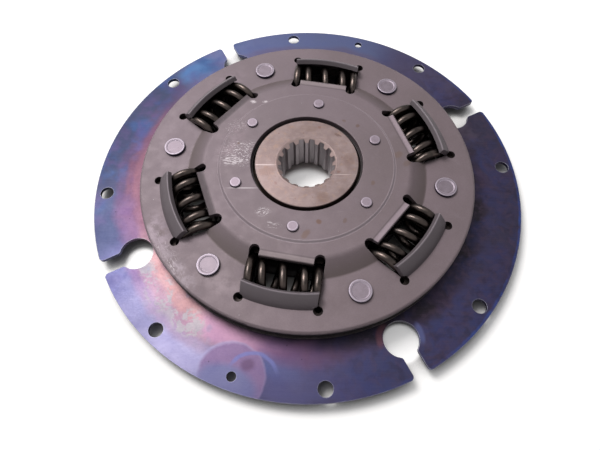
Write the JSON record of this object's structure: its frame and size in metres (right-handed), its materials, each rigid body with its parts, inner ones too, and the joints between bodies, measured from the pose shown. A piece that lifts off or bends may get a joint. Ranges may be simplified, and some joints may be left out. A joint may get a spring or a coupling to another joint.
{
  "type": "torsional damper disc",
  "caption": "Torsional damper disc for bolting to an engine flywheel: drive plate, lipped side plates, coil springs in windows and a splined hub.",
  "frame": {"origin": "centre of the bottom of the bounding box, on the hub axis in the plane of the rear rivet heads that the disc rests on", "axes": "+Z along the hub axis, out of the front face that faces the pump; +Y through one of the two dowel holes of the drive plate"},
  "size_m": [0.352, 0.352, 0.04],
  "materials": {
    "blued_plate": "temper-blued spring steel",
    "phosphated_sheet": "matte phosphate, lightly stained",
    "hub_steel": "machined, lightly oiled",
    "spring_steel": "dark oiled spring wire",
    "stop_rivet_steel": "upset rivet, satin",
    "small_rivet_steel": "upset rivet, satin",
    "dark_steel": "oiled",
    "friction_lining": "moulded friction lining"
  },
  "bodies": {
    "drive_side": {"drive_plate": "blued_plate", "front_disc_spring": "dark_steel", "front_friction_washer": "friction_lining", "front_side_plate": "phosphated_sheet", "front_small_rivet_1": "small_rivet_steel", "front_small_rivet_2": "small_rivet_steel", "front_small_rivet_3": "small_rivet_steel", "front_small_rivet_4": "small_rivet_steel", "front_small_rivet_5": "small_rivet_steel", "front_small_rivet_6": "small_rivet_steel", "front_thrust_ring": "dark_steel", "rear_disc_spring": "dark_steel", "rear_friction_washer": "friction_lining", "rear_side_plate": "phosphated_sheet", "rear_small_rivet_1": "small_rivet_steel", "rear_small_rivet_2": "small_rivet_steel", "rear_small_rivet_3": "small_rivet_steel", "rear_small_rivet_4": "small_rivet_steel", "rear_small_rivet_5": "small_rivet_steel", "rear_small_rivet_6": "small_rivet_steel", "rear_thrust_ring": "dark_steel", "stop_rivet_1": "stop_rivet_steel", "stop_rivet_2": "stop_rivet_steel", "stop_rivet_3": "stop_rivet_steel", "stop_rivet_4": "stop_rivet_steel", "stop_rivet_5": "stop_rivet_steel", "stop_rivet_6": "stop_rivet_steel"},
    "hub_side": {"hub": "hub_steel"},
    "spring_side": {"coil_spring_1": "spring_steel", "coil_spring_2": "spring_steel", "coil_spring_3": "spring_steel", "coil_spring_4": "spring_steel", "coil_spring_5": "spring_steel", "coil_spring_6": "spring_steel"}
  },
  "joints": [
    {"name": "hub_twist", "type": "hinge", "parent": "drive_side", "child": "hub_side", "pos_m": [0, 0, 0.02], "axis": [0, 0, 1], "range_deg": [-6, 6], "stiffness_Nm_per_rad": 9200, "deforming": ["coil_spring_1", "coil_spring_2", "coil_spring_3", "coil_spring_4", "coil_spring_5", "coil_spring_6"]},
    {"name": "spring_follow", "type": "hinge", "parent": "drive_side", "child": "spring_side", "pos_m": [0, 0, 0.02], "axis": [0, 0, 1], "range_deg": [-3, 3], "deforming": ["coil_spring_1", "coil_spring_2", "coil_spring_3", "coil_spring_4", "coil_spring_5", "coil_spring_6"]}
  ],
  "couplings": [
    {"joint": "spring_follow", "follows": "hub_twist", "ratio": 0.5}
  ]
}
